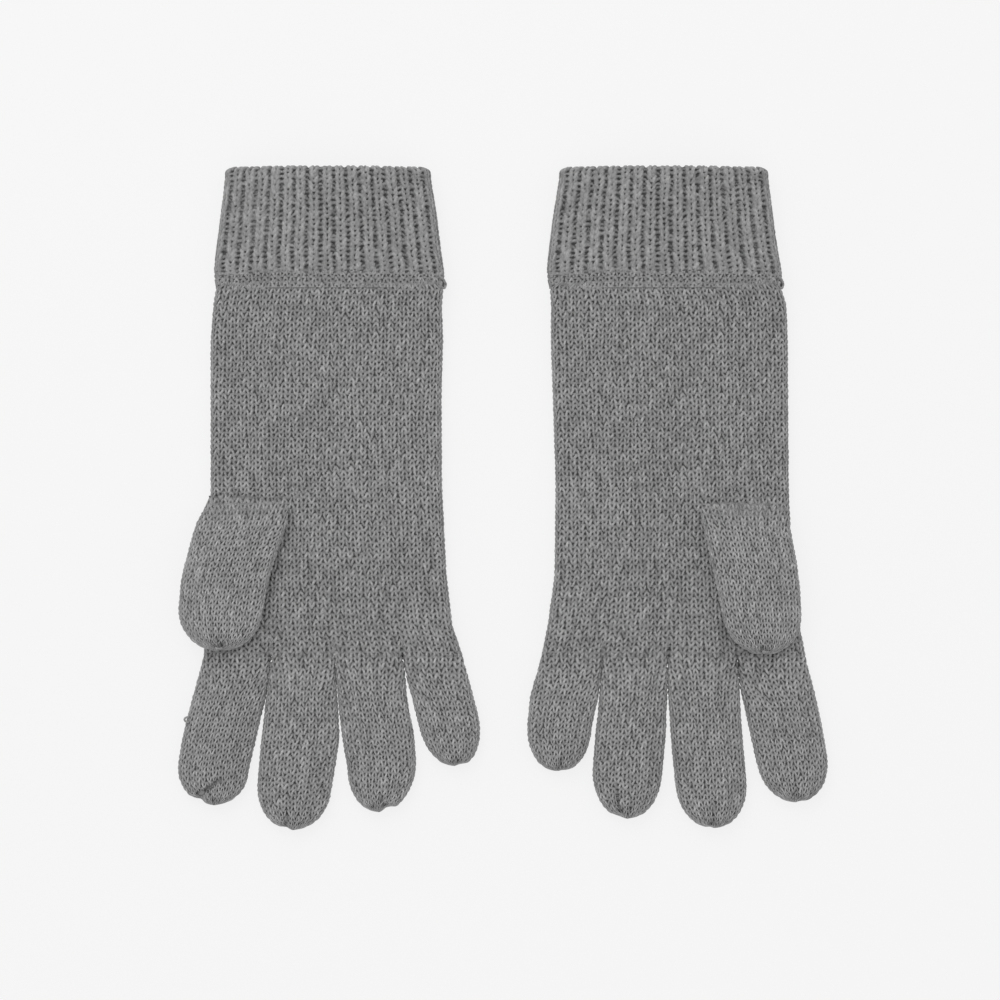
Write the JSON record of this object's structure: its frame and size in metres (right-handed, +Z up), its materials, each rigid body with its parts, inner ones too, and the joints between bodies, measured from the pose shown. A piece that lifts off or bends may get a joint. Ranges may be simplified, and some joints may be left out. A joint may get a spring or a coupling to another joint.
{
  "type": "knitted gloves",
  "caption": "Pair of knitted gloves laid flat with palms up: stockinette hands and fingers, thumbs lying on the palms, turned-back rib cuffs.",
  "frame": {"origin": "middle of the pair on the surface that it lies on", "axes": "+X from the right-hand glove to the left-hand glove, +Y from the fingers to the cuffs, +Z up, out of the palms"},
  "size_m": [0.2559, 0.2591, 0.0173],
  "materials": {
    "stockinette": "melange grey yarn in stockinette stitch, soft matt with a light fuzz",
    "rib": "melange grey yarn in one-by-one rib, soft matt with a light fuzz",
    "yarn": "twisted melange grey yarn, matt"
  },
  "bodies": {
    "right_hand": {"right_hand": "stockinette", "right_wrist_rib": "rib", "right_index_middle_crotch_stitch": "yarn", "right_middle_ring_crotch_stitch": "yarn", "right_ring_little_crotch_stitch": "yarn", "right_thumb_crotch_stitch": "yarn"},
    "right_index": {"right_index_finger": "stockinette", "right_index_tip_gather": "yarn"},
    "right_middle": {"right_middle_finger": "stockinette", "right_middle_tip_gather": "yarn"},
    "right_ring": {"right_ring_finger": "stockinette", "right_ring_tip_gather": "yarn"},
    "right_little": {"right_little_finger": "stockinette", "right_little_tip_gather": "yarn"},
    "right_thumb": {"right_thumb": "stockinette", "right_thumb_tip_gather": "yarn"},
    "right_cuff": {"right_cuff_turnback": "rib", "right_cuff_edge": "rib", "right_cuff_yarn_end": "yarn"},
    "left_hand": {"left_hand": "stockinette", "left_wrist_rib": "rib", "left_index_middle_crotch_stitch": "yarn", "left_middle_ring_crotch_stitch": "yarn", "left_ring_little_crotch_stitch": "yarn", "left_thumb_crotch_stitch": "yarn"},
    "left_index": {"left_index_finger": "stockinette", "left_index_tip_gather": "yarn"},
    "left_middle": {"left_middle_finger": "stockinette", "left_middle_tip_gather": "yarn"},
    "left_ring": {"left_ring_finger": "stockinette", "left_ring_tip_gather": "yarn"},
    "left_little": {"left_little_finger": "stockinette", "left_little_tip_gather": "yarn"},
    "left_thumb": {"left_thumb": "stockinette", "left_thumb_tip_gather": "yarn"},
    "left_cuff": {"left_cuff_turnback": "rib", "left_cuff_edge": "rib", "left_cuff_yarn_end": "yarn"}
  },
  "joints": [
    {"name": "right_index_curl", "type": "hinge", "parent": "right_hand", "child": "right_index", "pos_m": [-0.10435, -0.06175, 0.0086], "axis": [-1, 0, 0], "range_deg": [0, 90]},
    {"name": "right_middle_curl", "type": "hinge", "parent": "right_hand", "child": "right_middle", "pos_m": [-0.0784, -0.06175, 0.0086], "axis": [-1, 0, 0], "range_deg": [0, 90]},
    {"name": "right_ring_curl", "type": "hinge", "parent": "right_hand", "child": "right_ring", "pos_m": [-0.0526, -0.06175, 0.0086], "axis": [-1, 0, 0], "range_deg": [0, 90]},
    {"name": "right_little_curl", "type": "hinge", "parent": "right_hand", "child": "right_little", "pos_m": [-0.0273, -0.06175, 0.0086], "axis": [-1, 0, 0], "range_deg": [0, 90]},
    {"name": "right_thumb_lift", "type": "hinge", "parent": "right_hand", "child": "right_thumb", "pos_m": [-0.0996, -0.0012, 0.00875], "axis": [-1, 0, 0], "range_deg": [0, 80]},
    {"name": "right_cuff_unroll", "type": "slide", "parent": "right_hand", "child": "right_cuff", "axis": [0, 1, 0], "range_m": [0, 0.04]},
    {"name": "left_index_curl", "type": "hinge", "parent": "left_hand", "child": "left_index", "pos_m": [0.10565, -0.06175, 0.0086], "axis": [-1, 0, 0], "range_deg": [0, 90]},
    {"name": "left_middle_curl", "type": "hinge", "parent": "left_hand", "child": "left_middle", "pos_m": [0.07845, -0.06175, 0.0086], "axis": [-1, 0, 0], "range_deg": [0, 90]},
    {"name": "left_ring_curl", "type": "hinge", "parent": "left_hand", "child": "left_ring", "pos_m": [0.05205, -0.06175, 0.0086], "axis": [-1, 0, 0], "range_deg": [0, 90]},
    {"name": "left_little_curl", "type": "hinge", "parent": "left_hand", "child": "left_little", "pos_m": [0.02705, -0.06175, 0.0086], "axis": [-1, 0, 0], "range_deg": [0, 90]},
    {"name": "left_thumb_lift", "type": "hinge", "parent": "left_hand", "child": "left_thumb", "pos_m": [0.09435, -0.0023, 0.00875], "axis": [-1, 0, 0], "range_deg": [0, 80]},
    {"name": "left_cuff_unroll", "type": "slide", "parent": "left_hand", "child": "left_cuff", "axis": [0, 1, 0], "range_m": [0, 0.04]},
    {"name": "left_glove_pick_up", "type": "slide", "parent": "right_hand", "child": "left_hand", "axis": [0, 0, 1], "range_m": [0, 0.15]}
  ]
}
